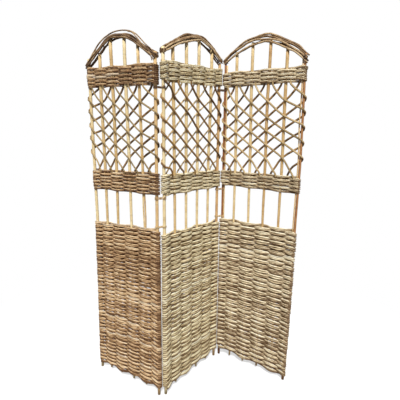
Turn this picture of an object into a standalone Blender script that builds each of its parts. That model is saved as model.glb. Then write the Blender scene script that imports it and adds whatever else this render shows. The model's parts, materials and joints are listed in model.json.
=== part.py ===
"""Folding willow screen: three woven panels, tied post to post in a zigzag.

Each panel has six upright stakes, a tall woven foot, two narrow woven bands, a diagonal
lattice between the bands and an arch of rods over the stake tops. The weavers run in front
of one stake and behind the next, and turn back round the outer posts. The panels hang
together by figure-of-eight ties, so each fold turns about two posts at once.

Metres, +Z up. The panels' middle is over the origin, the feet stand on Z = 0, the screen's
width runs along X, and its front looks along -Y.
"""

import math

import bpy
from mathutils import Vector

# What each part of a panel takes of its height, from the floor up.
FOOT_CLEARANCE = 0.038
LOWER_WEAVE_HEIGHT = 0.832
WINDOW_HEIGHT = 0.185
MID_BAND_HEIGHT = 0.093
LATTICE_HEIGHT = 0.422
TOP_BAND_HEIGHT = 0.086
ARCH_END_RISE = 0.032
ARCH_RISE = 0.113

# Each panel is made by hand, so its levels stray from the ones above by shares of this.
HAND_TRIM = 0.010

# Plan of the screen. A panel's width is between the axes of its outer posts.
PANEL_WIDTH = 0.420
FOLD_ANGLE = math.radians(83.4)

# Rods.
POST_DIAMETER = 0.0150
STAKE_FOOT_DIAMETER = 0.0110
STAKE_TOP_DIAMETER = 0.0150
STAKE_TAIL = 0.009
WEAVER_THICKNESS = 0.0070
LATTICE_DIAMETER = 0.0068
ARCH_DIAMETER = 0.0086
TIE_DIAMETER = 0.0030

# Spacing of the weave, the lattice and the ties.
LOWER_ROW_PITCH = 0.0142
BAND_ROW_PITCH = 0.0105
LATTICE_ROWS = 5
ARCH_STEPS = 12
TURN_BENDS = 3
TIE_TURNS = 2
TIE_LOOP_POINTS = 5

# Clearances between pieces that touch on the real screen.
SEAT_GAP = 0.0003
ROW_GAP = 0.0006
TIE_CLEARANCE = 0.0020

# A weaver leans as it climbs round an outer post, so it keeps more room there. Two folding
# panels keep the last clearance between the widest turns round their posts.
TURN_CLEARANCE = 0.0011
FOLD_CLEARANCE = 0.0010

# How round the rods are: the bevel resolution of the posts, the arches and the slim rods.
POST_BEVEL_STEPS = 2
ARCH_BEVEL_STEPS = 1
SLIM_BEVEL_STEPS = 0

# Where the stakes stand across each panel, as shares of its width.
STAKE_SHARES = {
    "left": (0.0, 0.180, 0.372, 0.585, 0.795, 1.0),
    "middle": (0.0, 0.182, 0.380, 0.590, 0.800, 1.0),
    "right": (0.0, 0.172, 0.378, 0.587, 0.796, 1.0),
}

# How far each level strays from its height in the stack, as shares of HAND_TRIM.
LEVEL_KEYS = ("lower_top", "mid_bottom", "mid_top", "top_bottom", "top_top", "end_first",
              "end_last", "arch_top")
TRIM_SHARES = {
    "left": (1.5, 0.0, 0.9, -1.7, -1.0, -1.3, -1.3, -0.1),
    "middle": (-0.8, -0.3, 0.1, 0.5, 0.7, 0.2, 2.0, 0.2),
    "right": (-0.6, 0.1, -0.9, 1.2, 0.0, 2.0, 1.0, 1.0),
}

# The arch's highest point across the panel, and how far its lower rods hang below the top
# one, as shares of the rods' diameter.
ARCH_APEX_SHARES = {"left": 0.46, "middle": 0.58, "right": 0.54}
ARCH_DROP_SHARES = {"left": (2.2, 3.2), "middle": (1.3, 2.3), "right": (1.3, 2.4)}
ARCH_END_SHARE = 0.01

# The lattice: its margin to the bands in pitches, where a rod enters and leaves a bay, and
# how much it falls on either side of a post that it turns round.
LATTICE_MARGIN_SHARE = 1.1
BAY_ENTRY_SHARE = 0.25
BAY_EXIT_SHARE = 0.72
WRAP_FALL_SHARE = 0.12

# A weaver is kneaded thinner where it turns round a post. A lattice rod turns with bends that
# stand this far round the post on either side of its outermost one.
TURN_THICKNESS_SHARE = 0.85
LATTICE_SHOULDER = math.radians(60.0)

# The arrows that mark the axes, as a share of a panel's width.
AXIS_MARK_SHARE = 0.25

LOWER_WEAVE_TOP = FOOT_CLEARANCE + LOWER_WEAVE_HEIGHT
MID_BAND_BOTTOM = LOWER_WEAVE_TOP + WINDOW_HEIGHT
MID_BAND_TOP = MID_BAND_BOTTOM + MID_BAND_HEIGHT
TOP_BAND_BOTTOM = MID_BAND_TOP + LATTICE_HEIGHT
TOP_BAND_TOP = TOP_BAND_BOTTOM + TOP_BAND_HEIGHT
ARCH_END_HEIGHT = TOP_BAND_TOP + ARCH_END_RISE
ARCH_TOP_HEIGHT = ARCH_END_HEIGHT + ARCH_RISE
HALF_FOLD = FOLD_ANGLE / 2
POST_RADIUS = POST_DIAMETER / 2
LAST = len(STAKE_SHARES["middle"]) - 1

FINISHES = {
    "peeled_willow": ((0.70, 0.50, 0.25), 0.55),
    "tan_willow": ((0.50, 0.29, 0.12), 0.60),
    "red_bark": ((0.22, 0.065, 0.022), 0.55),
    "brown_weave": ((0.33, 0.17, 0.08), 0.70),
    "cream_weave": ((0.52, 0.36, 0.18), 0.70),
    "grey_weave": ((0.40, 0.27, 0.14), 0.70),
    "dark_rod": ((0.17, 0.08, 0.035), 0.60),
    "light_rod": ((0.50, 0.33, 0.16), 0.60),
    "arch_bark": ((0.24, 0.12, 0.055), 0.65),
    "tie_skein": ((0.58, 0.40, 0.20), 0.50),
}
POST_FINISHES = {
    "left": ("peeled_willow", "tan_willow"),
    "middle": ("peeled_willow", "tan_willow"),
    "right": ("red_bark", "red_bark"),
}
WEAVE_FINISHES = {"left": "brown_weave", "middle": "cream_weave", "right": "grey_weave"}
LATTICE_FINISHES = {"left": "light_rod", "middle": "dark_rod", "right": "light_rod"}


def clear_scene():
    """Remove every object, so that the script can be run again."""
    for old in list(bpy.data.objects):
        bpy.data.objects.remove(old, do_unlink=True)


def make_collection(name):
    """Return an empty collection linked to the scene."""
    collection = bpy.data.collections.get(name) or bpy.data.collections.new(name)
    if name not in bpy.context.scene.collection.children:
        bpy.context.scene.collection.children.link(collection)
    return collection


def make_material(name):
    """Return the finish of that name as a plain surface."""
    material = bpy.data.materials.get(name) or bpy.data.materials.new(name)
    material.use_nodes = True
    colour, roughness = FINISHES[name]
    shader = material.node_tree.nodes["Principled BSDF"]
    shader.inputs["Base Color"].default_value = (*colour, 1.0)
    shader.inputs["Roughness"].default_value = roughness
    shader.inputs["Metallic"].default_value = 0.0
    material.diffuse_color = (*colour, 1.0)
    return material


def make_axis(name, place, heading, parts, parent=None):
    """Add the empty that a body turns about, at a post's foot."""
    axis = bpy.data.objects.new(name, None)
    axis.empty_display_size = PANEL_WIDTH * AXIS_MARK_SHARE
    parts.objects.link(axis)
    axis.location = place
    axis.rotation_euler = (0.0, 0.0, heading)
    axis.parent = parent
    return axis


def make_rod(name, points, diameter, finish, owner, parts, steps, shares=None, profile=None):
    """Add one rod along the points, round or of the profile given, with closed ends."""
    curve = bpy.data.curves.new(name, "CURVE")
    curve.dimensions = "3D"
    curve.twist_mode = "Z_UP" if profile else "MINIMUM"
    curve.bevel_depth = diameter / 2
    curve.bevel_resolution = steps
    curve.use_fill_caps = True
    if profile:
        curve.bevel_mode = "OBJECT"
        curve.bevel_object = profile
    spline = curve.splines.new("POLY")
    spline.points.add(len(points) - 1)
    spline.use_smooth = not profile
    for index, place in enumerate(points):
        spline.points[index].co = (*place, 1.0)
        if shares:
            spline.points[index].radius = shares[index]
    rod = bpy.data.objects.new(name, curve)
    rod.data.materials.append(make_material(finish))
    rod.parent = owner
    parts.objects.link(rod)
    return rod


def make_weaver_profile(name, height, guides):
    """Add the weaver's cross-section: a ridge that leans on the row below."""
    half = WEAVER_THICKNESS / 2
    curve = bpy.data.curves.new(name, "CURVE")
    curve.dimensions = "2D"
    curve.fill_mode = "NONE"
    spline = curve.splines.new("POLY")
    spline.points.add(2)
    corners = ((-half, -height / 2), (0.0, height / 2), (half, -height / 2))
    for point, (across, up) in zip(spline.points, corners):
        point.co = (across, up, 0.0, 1.0)
    spline.use_cyclic_u = True
    profile = bpy.data.objects.new(name, curve)
    profile.display_type = "WIRE"
    profile.hide_render = True
    guides.objects.link(profile)
    return profile


class Panel:
    """One panel: where its stakes stand, and the heights of its weave."""

    def __init__(self, name, hinge_stake):
        self.name = name
        self.stakes = [share * PANEL_WIDTH for share in STAKE_SHARES[name]]
        self.hinge = self.stakes[hinge_stake]
        self.lower = (FOOT_CLEARANCE, self.level(LOWER_WEAVE_TOP, "lower_top"))
        self.mid = (self.level(MID_BAND_BOTTOM, "mid_bottom"), self.level(MID_BAND_TOP, "mid_top"))
        self.top = (self.level(TOP_BAND_BOTTOM, "top_bottom"), self.level(TOP_BAND_TOP, "top_top"))
        self.arch_ends = (self.level(ARCH_END_HEIGHT, "end_first"),
                          self.level(ARCH_END_HEIGHT, "end_last"))
        self.arch_top = self.level(ARCH_TOP_HEIGHT, "arch_top")

    def level(self, height, key):
        """Return a level's height with this panel's own trim."""
        return height + HAND_TRIM * TRIM_SHARES[self.name][LEVEL_KEYS.index(key)]

    def place(self, along, across, up):
        """Turn panel coordinates into the coordinates of the panel's hinge empty."""
        return Vector((along - self.hinge, across, up))

    def bay(self, index):
        """Return the width between a stake and the next."""
        return self.stakes[index + 1] - self.stakes[index]

    def arch_line(self, along):
        """Return the height of the top rod's axis, and its slope, at a place across the panel."""
        share = min(max(along / PANEL_WIDTH, 0.0), 1.0)
        skew = math.log(0.5) / math.log(ARCH_APEX_SHARES[self.name])
        first, last = self.arch_ends
        apex = ARCH_APEX_SHARES[self.name]
        rise = self.arch_top - ARCH_DIAMETER - (first + (last - first) * apex)
        phase = math.pi * share ** skew
        height = first + (last - first) * share + rise * math.sin(phase)
        turn = math.pi * skew * max(share, ARCH_END_SHARE) ** (skew - 1)
        slope = (last - first + rise * turn * math.cos(phase)) / PANEL_WIDTH
        return height + ARCH_DIAMETER / 2, slope


def stake_radius(index, up):
    """Return the radius of a stake at a height: the outer posts are even, the others taper."""
    if index in (0, LAST):
        return POST_RADIUS
    share = up / ARCH_TOP_HEIGHT
    return (STAKE_FOOT_DIAMETER + (STAKE_TOP_DIAMETER - STAKE_FOOT_DIAMETER) * share) / 2


def stake_top(panel, index):
    """Return the height where a stake stops, just under the arch's top rod."""
    height, slope = panel.arch_line(panel.stakes[index])
    lean = math.hypot(1.0, slope)
    radius = stake_radius(index, height)
    return height - ARCH_DIAMETER / 2 * lean - radius * abs(slope) - SEAT_GAP


def make_stakes(panel, owner, parts):
    """Add the six uprights. The outer posts stand on the floor, the others end in the weave."""
    for index, along in enumerate(panel.stakes):
        is_post = index in (0, LAST)
        low = 0.0 if is_post else panel.lower[0] - STAKE_TAIL
        high = stake_top(panel, index)
        if is_post:
            kind = "post_first" if index == 0 else "post_last"
            finish = POST_FINISHES[panel.name][0 if index == 0 else 1]
        else:
            kind, finish = f"stake_{index}", "peeled_willow"
        points = [panel.place(along, 0.0, up) for up in (low, high)]
        shares = [2 * stake_radius(index, up) / POST_DIAMETER for up in (low, high)]
        make_rod(f"{panel.name}_{kind}", points, POST_DIAMETER, finish, owner, parts,
                 POST_BEVEL_STEPS, shares)


def bent_offset(reach, bay):
    """Return how far out a weaver bends, to clear a stake by reach on its slanting runs."""
    return reach * bay / math.sqrt(bay ** 2 - 4 * reach ** 2)


def turn_shape(panel, post, up):
    """Return the radius of a weaver's three bends round an outer post, and the angle between.

    The weaver's inner face comes from the next stake's far side, touches the post's clearance,
    and bends alike three times as it goes round.
    """
    bay = panel.bay(LAST - 1 if post == LAST else 0)
    inner = post - 1 if post == LAST else post + 1
    skin = POST_RADIUS + TURN_CLEARANCE
    inner_reach = stake_radius(inner, up) + SEAT_GAP + WEAVER_THICKNESS / 2
    far_side = bent_offset(inner_reach, bay) + WEAVER_THICKNESS / 2
    arrival = math.pi / 2 + math.asin(skin / math.hypot(bay, far_side)) + math.atan2(far_side, bay)
    bend = 2 * arrival / TURN_BENDS
    return skin / math.cos(bend / 2) + TURN_THICKNESS_SHARE * WEAVER_THICKNESS / 2, bend


def weaver_turn(panel, post, side, low, high):
    """Return the points of a weaver that turns round an outer post, from one row to the next."""
    outward = 1 if post == LAST else -1
    radius, bend = turn_shape(panel, post, low)
    along = panel.stakes[post]
    corner_out = outward * radius * math.cos(bend)
    corner_side = side * radius * math.sin(bend)
    return [
        panel.place(along + corner_out, corner_side, low),
        panel.place(along + outward * radius, 0.0, (low + high) / 2),
        panel.place(along + corner_out, -corner_side, high),
    ]


def weaver_path(panel, low, high, rows):
    """Return the path of one weaver: in front of a stake, behind the next, and back again.

    With it go the shares of the full thickness along the path, and the pitch of its rows.
    """
    pitch = (high - low) / rows
    points, shares = [], []
    for row in range(rows):
        up = low + (row + 0.5) * pitch
        forward = row % 2 == 0
        order = range(0, LAST + 1) if forward else range(LAST, -1, -1)
        for index in order:
            side = 1 if (index + row) % 2 else -1
            starts = row == 0 and index == 0
            ends = row == rows - 1 and index == (LAST if forward else 0)
            if index in (0, LAST) and not (starts or ends):
                leaving = index == (LAST if forward else 0)
                if leaving:
                    turn = weaver_turn(panel, index, side, up, up + pitch)
                    points += turn
                    shares += [TURN_THICKNESS_SHARE] * len(turn)
                continue
            reach = stake_radius(index, up) + SEAT_GAP + WEAVER_THICKNESS / 2
            near_bays = [panel.bay(bay) for bay in (index - 1, index) if 0 <= bay < LAST]
            offset = bent_offset(reach, min(near_bays))
            points.append(panel.place(panel.stakes[index], side * offset, up))
            shares.append(1.0)
    return points, shares, pitch


def make_weave(panel, name, levels, row_pitch, owner, parts, guides):
    """Add a woven band: one unbroken weaver between two heights."""
    low, high = levels
    rows = max(2, round((high - low) / row_pitch))
    points, shares, pitch = weaver_path(panel, low, high, rows)
    profile = make_weaver_profile(f"{panel.name}_{name}_section", pitch - ROW_GAP, guides)
    make_rod(f"{panel.name}_{name}", points, WEAVER_THICKNESS, WEAVE_FINISHES[panel.name],
             owner, parts, SLIM_BEVEL_STEPS, shares, profile)


def lattice_leg(panel, bay, side):
    """Return one leg of a lattice rod from the top band down, and round the post it meets."""
    low, high = panel.mid[1], panel.top[0]
    pitch = (high - low) / (LATTICE_ROWS - 1 + 2 * LATTICE_MARGIN_SHARE)
    radius = LATTICE_DIAMETER / 2
    step = 1 if side < 0 else -1
    index = bay + 1 if step > 0 else bay
    edge = panel.stakes[bay] if step > 0 else panel.stakes[bay + 1]
    first_row = high - LATTICE_MARGIN_SHARE * pitch
    across = side * (stake_radius(index, first_row) + SEAT_GAP + radius)
    top = high - SEAT_GAP - radius
    points = [
        panel.place(edge + step * BAY_ENTRY_SHARE * panel.bay(bay), across, top),
        panel.place(edge + step * panel.bay(bay) / 2, across, first_row + pitch / 2),
    ]
    for row in range(LATTICE_ROWS):
        up = first_row - row * pitch
        along = panel.stakes[index]
        reach = stake_radius(index, up) + SEAT_GAP + radius
        if index == (LAST if step > 0 else 0):
            crown = reach / math.cos(LATTICE_SHOULDER / 2)
            fall = WRAP_FALL_SHARE * pitch
            shoulder = (step * crown * math.cos(LATTICE_SHOULDER), crown * math.sin(LATTICE_SHOULDER))
            points += [
                panel.place(along + shoulder[0], side * shoulder[1], up + fall),
                panel.place(along + step * crown, 0.0, up),
                panel.place(along + shoulder[0], -side * shoulder[1], up - fall),
            ]
            step, side = -step, -side
        else:
            points.append(panel.place(along, side * reach, up))
        index += step
    start = panel.stakes[index - step]
    width = abs(panel.stakes[index] - start)
    across = side * (stake_radius(index, low) + SEAT_GAP + radius)
    points += [
        panel.place(start + step * width / 2, across, first_row - (LATTICE_ROWS - 0.5) * pitch),
        panel.place(start + step * BAY_EXIT_SHARE * width, across, low + SEAT_GAP),
    ]
    return points


def make_lattice(panel, owner, parts):
    """Add the lattice rods: each is bent double under the top band, with a leg on each face."""
    for bay in range(LAST):
        front = lattice_leg(panel, bay, -1)
        back = lattice_leg(panel, bay, 1)
        make_rod(f"{panel.name}_lattice_rod_{bay + 1}", front[::-1] + back, LATTICE_DIAMETER,
                 LATTICE_FINISHES[panel.name], owner, parts, SLIM_BEVEL_STEPS)


def make_arch(panel, owner, parts):
    """Add the arch: one rod on the stake tops, and one on each face of the stakes."""
    steps = [index / ARCH_STEPS for index in range(ARCH_STEPS + 1)]
    top = []
    for share in steps:
        along = share * PANEL_WIDTH
        top.append(panel.place(along, 0.0, panel.arch_line(along)[0]))
    make_rod(f"{panel.name}_arch_top_rod", top, ARCH_DIAMETER, "arch_bark", owner, parts,
             ARCH_BEVEL_STEPS)
    reach = POST_RADIUS + SEAT_GAP + ARCH_DIAMETER / 2
    for name, side, drop_share in (("front", -1, ARCH_DROP_SHARES[panel.name][0]),
                                   ("back", 1, ARCH_DROP_SHARES[panel.name][1])):
        seat = panel.top[1] + SEAT_GAP
        points = [panel.place(0.0, side * reach, seat)]
        for share in steps:
            along = share * PANEL_WIDTH
            drop = drop_share * ARCH_DIAMETER
            up = max(panel.arch_line(along)[0] - drop, seat + ARCH_DIAMETER)
            points.append(panel.place(along, side * reach, up))
        points.append(panel.place(PANEL_WIDTH, side * reach, seat))
        make_rod(f"{panel.name}_arch_{name}_rod", points, ARCH_DIAMETER, "arch_bark", owner,
                 parts, ARCH_BEVEL_STEPS)


def make_panel(panel, owner, parts, guides):
    """Add every piece of one panel to its hinge empty."""
    make_stakes(panel, owner, parts)
    make_weave(panel, "lower_weave", panel.lower, LOWER_ROW_PITCH, owner, parts, guides)
    make_weave(panel, "mid_band", panel.mid, BAND_ROW_PITCH, owner, parts, guides)
    make_weave(panel, "top_band", panel.top, BAND_ROW_PITCH, owner, parts, guides)
    make_lattice(panel, owner, parts)
    make_arch(panel, owner, parts)


def post_gap(panels):
    """Return the distance between two panels' posts, which lets them turn about each other."""
    widest = POST_RADIUS + SEAT_GAP + ARCH_DIAMETER
    for panel in panels:
        for post in (0, LAST):
            radius = turn_shape(panel, post, panel.top[1])[0]
            widest = max(widest, radius + TURN_THICKNESS_SHARE * WEAVER_THICKNESS / 2)
    lattice_bend = (POST_RADIUS + SEAT_GAP + LATTICE_DIAMETER / 2) / math.cos(LATTICE_SHOULDER / 2)
    return 2 * max(widest, lattice_bend + LATTICE_DIAMETER / 2) + FOLD_CLEARANCE


def tie_path(low, outward, gap):
    """Return a figure of eight round two posts, climbing a little as it goes."""
    reach = POST_RADIUS + SEAT_GAP + TIE_DIAMETER / 2
    climb = TIE_DIAMETER + ROW_GAP
    open_angle = math.acos(2 * reach / gap)
    corner = reach / math.cos((math.pi - open_angle) / TIE_LOOP_POINTS)
    points = []
    for loop in range(2 * TIE_TURNS):
        centre = 0.0 if loop % 2 == 0 else outward * gap
        facing = 1 if loop % 2 == 0 else -1
        for step in range(TIE_LOOP_POINTS):
            share = (step + 0.5) / TIE_LOOP_POINTS
            angle = open_angle + 2 * (math.pi - open_angle) * share
            along = centre + outward * facing * corner * math.cos(angle)
            across = facing * corner * math.sin(angle) * (1 if loop % 2 == 0 else -1)
            points.append(Vector((along, across, low + climb * (loop + share))))
    return points


def make_ties(name, panels, owner, outward, gap, parts):
    """Add the three ties of a fold, where both of its posts are bare."""
    height = 2 * TIE_TURNS * (TIE_DIAMETER + ROW_GAP)
    under_top = min(panel.top[0] for panel in panels) - TIE_CLEARANCE - height
    under_mid = min(panel.mid[0] for panel in panels) - TIE_CLEARANCE - height
    over_lower = max(panel.lower[1] for panel in panels) + TIE_CLEARANCE
    for kind, low in (("upper", under_top), ("middle", under_mid), ("lower", over_lower)):
        make_rod(f"{name}_{kind}_tie", tie_path(low, outward, gap), TIE_DIAMETER, "tie_skein",
                 owner, parts, SLIM_BEVEL_STEPS)


def build():
    """Build the screen as it stands half open."""
    clear_scene()
    parts = make_collection("willow_screen")
    guides = make_collection("sections")
    left, middle, right = Panel("left", LAST), Panel("middle", 0), Panel("right", 0)
    half = Vector((math.cos(HALF_FOLD), math.sin(HALF_FOLD), 0.0)) * PANEL_WIDTH / 2
    root = make_axis("middle_panel_axis", -half, HALF_FOLD, parts)
    left_link = make_axis("left_ties_axis", -half, 0.0, parts)
    right_link = make_axis("right_ties_axis", half, 0.0, parts)
    gap = post_gap((left, middle, right))
    across = Vector((gap, 0.0, 0.0))
    left_axis = make_axis("left_panel_axis", -across, -HALF_FOLD, parts, left_link)
    right_axis = make_axis("right_panel_axis", across, -HALF_FOLD, parts, right_link)
    make_panel(middle, root, parts, guides)
    make_panel(left, left_axis, parts, guides)
    make_panel(right, right_axis, parts, guides)
    make_ties("left", (left, middle), left_link, -1, gap, parts)
    make_ties("right", (middle, right), right_link, 1, gap, parts)


build()
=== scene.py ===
"""Folding willow screen: the looks of its stakes, weave, lattice, arches and ties.

Every rod is a tapered, slightly crooked tube that follows the way a weaver works: in front of
one stake and behind the next, and round the outer posts. Lengths are in metres, +Z is up.
"""

import json
import math
import random

import bpy
from bpy.props import FloatProperty, FloatVectorProperty, IntProperty, PointerProperty
from mathutils import Matrix, Vector


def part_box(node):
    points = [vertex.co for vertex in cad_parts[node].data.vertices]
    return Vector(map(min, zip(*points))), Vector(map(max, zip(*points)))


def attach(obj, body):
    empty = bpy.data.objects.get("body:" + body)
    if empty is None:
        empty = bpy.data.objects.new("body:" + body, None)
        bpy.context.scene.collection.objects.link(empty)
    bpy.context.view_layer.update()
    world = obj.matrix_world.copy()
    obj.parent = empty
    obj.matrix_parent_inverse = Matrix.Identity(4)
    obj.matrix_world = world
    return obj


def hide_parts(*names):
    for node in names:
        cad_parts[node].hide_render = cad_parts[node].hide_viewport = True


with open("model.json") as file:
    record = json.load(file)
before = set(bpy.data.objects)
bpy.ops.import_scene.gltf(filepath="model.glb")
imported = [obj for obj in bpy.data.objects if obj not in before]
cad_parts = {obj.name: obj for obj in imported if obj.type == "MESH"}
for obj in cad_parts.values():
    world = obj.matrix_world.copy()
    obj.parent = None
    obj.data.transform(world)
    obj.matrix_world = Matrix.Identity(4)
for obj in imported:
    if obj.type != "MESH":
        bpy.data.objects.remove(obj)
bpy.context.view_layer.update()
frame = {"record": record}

bl_info = {
    "name": "Folding willow screen",
    "version": (1, 0, 0),
    "blender": (4, 5, 0),
    "location": "View3D > Sidebar > Willow screen",
    "description": "Dresses the screen's frame with willow rods",
    "category": "Object",
}

PANELS = ("left", "middle", "right")
UP = Vector((0.0, 0.0, 1.0))
MM = 0.001

# A panel's uprights are numbered: 0 is its first post, then come four stakes and its last post.
LAST = 5

# Rods keep this far off the stakes, and stay this near to the panel's middle, so that two
# panels still fold flat against each other.
SEAT = 0.0003
PANEL_HALF_DEPTH = 0.0168
POST_REACH = 0.0167

# Steps of a weaver from one stake to the next, and of its turn and a half round an outer post,
# and how far that wrap spreads past its row, as a share of the row's height.
BAY_STEPS = 6
WRAP_STEPS = 20
WRAP_ANGLE = 3 * math.pi
WRAP_SPREAD = 0.17

# How far the strands of a row spread beside a stake: share, and height on the screen. The rows
# of the foot bulge there, and those of the narrow bands lie nearly straight. Then how far they
# spread as they come to an outer post, and how far they are drawn together where they wrap it.
STAKE_SPREADS = ((1.0, 0.60), (0.73, 0.87), (0.30, 1.0))
POST_SPREAD = 0.7
WRAP_PINCH = -0.6

# The tone of the darkest bark. The palest is 0.
DARKEST = 0.97

# Painted shade: the faces that look outwards and upwards are painted lit, the others darker,
# as the light falls. How much darker the shaded faces of the woven rods, of the lattice and of
# the arches are painted, and how much the upper faces count against the outer ones. A rod
# between two stakes is painted lit on both its faces: how much each of them counts.
WEAVE_PAINTED_SHADE = 0.50
LATTICE_PAINTED_SHADE = 0.30
ARCH_PAINTED_SHADE = 0.34
UPPER_FACES = 0.35
BOTH_FACES = 0.85

# In a row the undersides are painted in shade, as the light misses them: how much the outer
# face counts there, how far a face has to look down to lie in full painted shade, and how soon
# it comes out of the painted shade above that.
ROW_FACE = 1.3
UNDERSIDE = 0.30
UNDERSIDE_FADE = 0.85

# The share of its painted shade by which a lattice rod or an arch rod is paler to begin with, so
# that the painted shade doesn't darken it as a whole.
PAINTED_SHADE_BALANCE = 0.3

# How much a rod's radius swells and shrinks along it, as a share, and how slim the far end of a
# lattice rod or an arch rod is.
SWELLING = 0.03
ROD_TAPER = 0.92

# A rod is steep where it rises by more than this share of its length.
STEEP = 0.8

# The bindings at the arches' feet. Their level is a share of the arch's bundle. They stray from
# it as a whole and turn by turn, and their skein is more or less dark.
BINDING_TURNS = 4
BINDING_STEPS = 12
BINDING_HEIGHT = 0.016
BINDING_HALF_WIDTH = 0.0094
BINDING_HALF_DEPTH = 0.0151
BINDING_RADIUS = 0.0013
BINDING_LEVEL = 0.4
BINDING_STRAY_MM = 2.0
BINDING_TURN_STRAY_MM = 0.8
BINDING_TONES = (0.6, 0.95)

# The drop of a lattice rod as it turns round an outer post, from one face to the other, and in
# degrees the step between its points there, and how far it runs past the outer side of the
# post, where the next rod begins.
TURN_DROP = 0.032
TURN_STEP = 30
TURN_OVERLAP = 22

# Heights at which the stakes' lean is given, and each stake's lean there in millimetres, as
# read from the photograph. The posts that carry a fold stand straight.
LEAN_HEIGHTS = (0.0, 0.45, 0.9, 1.2, 1.5, 1.72)
LEANS_MM = {
    "left": ((0, 10, 14, 10, 4, 3), (0, 8, 14, 12, 4, 6), (0, 6, 10, 11, 6, -1),
             (0, 6, 12, 8, 0, -4), (0, 6, 12, 3, -6, -12), (0, 0, 0, 0, 0, 0)),
    "middle": ((0, 0, 0, 0, 0, 0), (0, -1, -3, -6, -11, -15), (0, -1, -3, -5, -4, -5),
               (0, -1, -4, -5, -5, 0), (0, 0, 0, -1, 12, 15), (0, 0, 0, 0, 0, 0)),
    "right": ((0, 0, 0, 0, 0, 0), (0, 0, 0, 0, -5, -9), (0, 0, 1, -1, -8, -9),
              (0, -1, -3, -3, -8, -3), (0, -1, -4, -2, -5, -5), (-15, -8, -2, 3, -1, -6)),
}

# Stake diameters in millimetres at the same heights: the stakes stand butt end up.
STAKE_DIAMETERS_MM = (11.0, 12.0, 12.8, 14.8, 16.0, 15.8)
POST_DIAMETERS_MM = (14.8, 15.0, 15.0, 15.0, 15.2, 15.0)

# The uprights: steps along each, how far below the weave's edge a stake ends, its top's level
# in the arch's bundle, how far they stray along the panel and across it, in millimetres, and
# how much their radius strays, as a share.
STAKE_STEPS = 26
STAKE_FEET = (-0.008, -0.002)
STAKE_TOP_LEVEL = 0.35
STAKE_STRAYS_MM = (0.5, 0.3)
STAKE_SWELLING = 0.02

# The tones of the uprights, and how much darker the stakes of a panel are than the palest.
STAKE_TONES = (0.15, 0.55)
STAKE_SHADES = {"left": 0.0, "middle": 0.0, "right": 0.18}

# The right panel's posts are slim and red-brown, with a slim pale rod beside each. How far such
# a post is shifted outwards, in millimetres, its radii below and above the top of the woven
# foot, and at what height it begins to narrow, and over what height.
PAIRED_PANEL = "right"
PAIRED_SHIFT_MM = 1.4
PAIRED_RADII = (0.0072, 0.0060)
PAIRED_NARROWING = (0.80, 0.08)

# The pale rods beside them: for each post how far towards the panel's middle, and how much
# further where it bows, in millimetres. Then their ends' heights and radii, their tone, and the
# height and reach of the bow.
MATES_MM = {0: (8.6, 1.0), LAST: (9.0, 4.5)}
MATE_STEPS = 18
MATE_HEIGHTS = (0.83, 1.69)
MATE_RADII = (0.0033, 0.0037)
MATE_TONE = 0.15
MATE_BOW = (1.40, 0.09)

# One stake is two slim rods, which part in the open window: each rod's side and its share of a
# whole stake's radius, how far it stands off, how much further where they part, the height and
# reach of that place, and how much darker or paler each rod is.
SPLIT_STAKE = ("left", 4)
SPLIT_RODS = ((-1, 0.62), (1, 0.55))
SPLIT_OFFSET = 0.42
SPLIT_PARTING = 0.55
SPLIT_PLACE = (0.97, 0.085)
SPLIT_TONE = 0.08

# How much each band's edge rises from the first post to the last, in millimetres: lower edge
# and upper edge.
EDGE_TILTS_MM = {
    "left": {"lower_weave": (8, 20), "mid_band": (8, 8), "top_band": (-6, -7)},
    "middle": {"lower_weave": (12, -12), "mid_band": (-8, -8), "top_band": (18, 15)},
    "right": {"lower_weave": (-34, -2), "mid_band": (-9, -1), "top_band": (9, -1)},
}

# Rods are worked singly, in pairs or in threes. Each strand: how far it lies over the row's
# middle where rows cross and where it passes a stake, its radius, and its half height at these
# places, all as shares of the row's height. Beside a stake the next row lies on the other
# face, so the strands spread there. The last value is how much darker the strand is painted:
# the lower strands lie in the shade of the row above, and that is painted shade.
STRANDS = (
    ((0.0, 0.0, 0.46, 0.60, 0.96, 0.0),),
    ((-0.29, -0.49, 0.31, 0.31, 0.45, 0.32), (0.29, 0.49, 0.30, 0.31, 0.44, 0.0)),
    ((-0.37, -0.64, 0.24, 0.24, 0.33, 0.42), (0.0, 0.0, 0.25, 0.24, 0.35, 0.10),
     (0.37, 0.64, 0.23, 0.24, 0.33, 0.0)),
)

# The weaves: the share of single rods and of pairs, how dark the rods are on the whole, and
# how strongly their lower strands are darkened with painted shade.
WEAVES = {
    "left": {"lower_weave": (0.02, 0.56, 0.33, 1.0), "mid_band": (0.12, 0.50, 0.36, 1.10),
             "top_band": (0.12, 0.50, 0.43, 1.0)},
    "middle": {"lower_weave": (0.04, 0.52, 0.31, 0.85), "mid_band": (0.12, 0.50, 0.29, 0.60),
               "top_band": (0.12, 0.50, 0.26, 0.05)},
    "right": {"lower_weave": (0.04, 0.52, 0.29, 1.0), "mid_band": (0.12, 0.50, 0.30, 0.85),
              "top_band": (0.12, 0.50, 0.28, 1.0)},
}

# Painted shade on the lower strands, strongest near the ground: how strong, and at what heights.
LOW_SHADE_SHARES = (1.4, 0.9, 0.8)
LOW_SHADE_HEIGHTS = (0.15, 0.45, 0.80)

# The share of rods that have gone grey, and their tone. Then how much the other rods' tones
# stray, the tone of the palest, and how much the strands of one rod stray.
GREY_SHARE = 0.06
GREY_TONE = 0.10
TONE_STRAY = 0.09
PALEST_WEAVER = 0.25
STRAND_TONE_STRAY = 0.12

# How much the rows of a band differ in height, and the two ends of a row again, as shares.
ROW_STRAY = 0.07
ROW_END_STRAY = 0.04

# How far a weaver strays up or down at a stake, in millimetres, and how it climbs to the next
# one: in part evenly, in part with a level start and end.
WEAVER_STRAY_MM = 0.35
EVEN_CLIMB = 0.6
EASED_CLIMB = 0.4

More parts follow.
